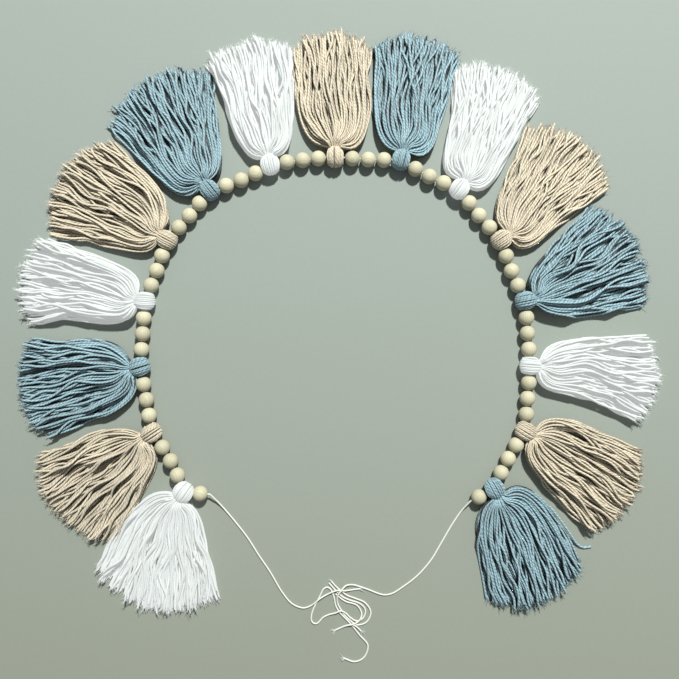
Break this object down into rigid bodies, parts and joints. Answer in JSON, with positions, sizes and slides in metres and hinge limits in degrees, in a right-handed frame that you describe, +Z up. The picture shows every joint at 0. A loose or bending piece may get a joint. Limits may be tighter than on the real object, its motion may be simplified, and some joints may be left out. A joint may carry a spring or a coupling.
{
  "type": "tassel garland",
  "caption": "Yarn tassel and wooden bead garland on a string, laid flat in a horseshoe, the string's ends tied in a loose bow.",
  "frame": {"origin": "on the surface that the garland lies on, under the middle of its bounding box without the string", "axes": "+Z up out of the surface; +Y from the bow towards the closed top of the horseshoe; +X to the right as seen from above"},
  "size_m": [0.6612, 0.6529, 0.019],
  "materials": {
    "yarn_white": "soft twisted yarn, bright off white",
    "yarn_beige": "soft twisted yarn, oatmeal beige",
    "yarn_blue": "soft twisted yarn, dusty light blue",
    "bead_wood": "plain pale wood, unvarnished, faint grain",
    "string": "thin white plied string"
  },
  "bodies": {
    "root": {"tassel_01": "yarn_white", "tassel_02": "yarn_beige", "tassel_03": "yarn_blue", "tassel_04": "yarn_white", "tassel_05": "yarn_beige", "tassel_06": "yarn_blue", "tassel_07": "yarn_white", "tassel_08": "yarn_beige", "tassel_09": "yarn_blue", "tassel_10": "yarn_white", "tassel_11": "yarn_beige", "tassel_12": "yarn_blue", "tassel_13": "yarn_white", "tassel_14": "yarn_beige", "tassel_15": "yarn_blue", "bead_01": "bead_wood", "bead_02": "bead_wood", "bead_03": "bead_wood", "bead_04": "bead_wood", "bead_05": "bead_wood", "bead_06": "bead_wood", "bead_07": "bead_wood", "bead_08": "bead_wood", "bead_09": "bead_wood", "bead_10": "bead_wood", "bead_11": "bead_wood", "bead_12": "bead_wood", "bead_13": "bead_wood", "bead_14": "bead_wood", "bead_15": "bead_wood", "bead_16": "bead_wood", "bead_17": "bead_wood", "bead_18": "bead_wood", "bead_19": "bead_wood", "bead_20": "bead_wood", "bead_21": "bead_wood", "bead_22": "bead_wood", "bead_23": "bead_wood", "bead_24": "bead_wood", "bead_25": "bead_wood", "bead_26": "bead_wood", "bead_27": "bead_wood", "bead_28": "bead_wood", "bead_29": "bead_wood", "bead_30": "bead_wood", "bead_31": "bead_wood", "bead_32": "bead_wood", "bead_33": "bead_wood", "bead_34": "bead_wood", "bead_35": "bead_wood", "bead_36": "bead_wood", "bead_37": "bead_wood", "bead_38": "bead_wood", "bead_39": "bead_wood", "bead_40": "bead_wood", "bead_41": "bead_wood", "bead_42": "bead_wood", "bead_43": "bead_wood", "bead_44": "bead_wood", "string": "string"}
  },
  "joints": []
}
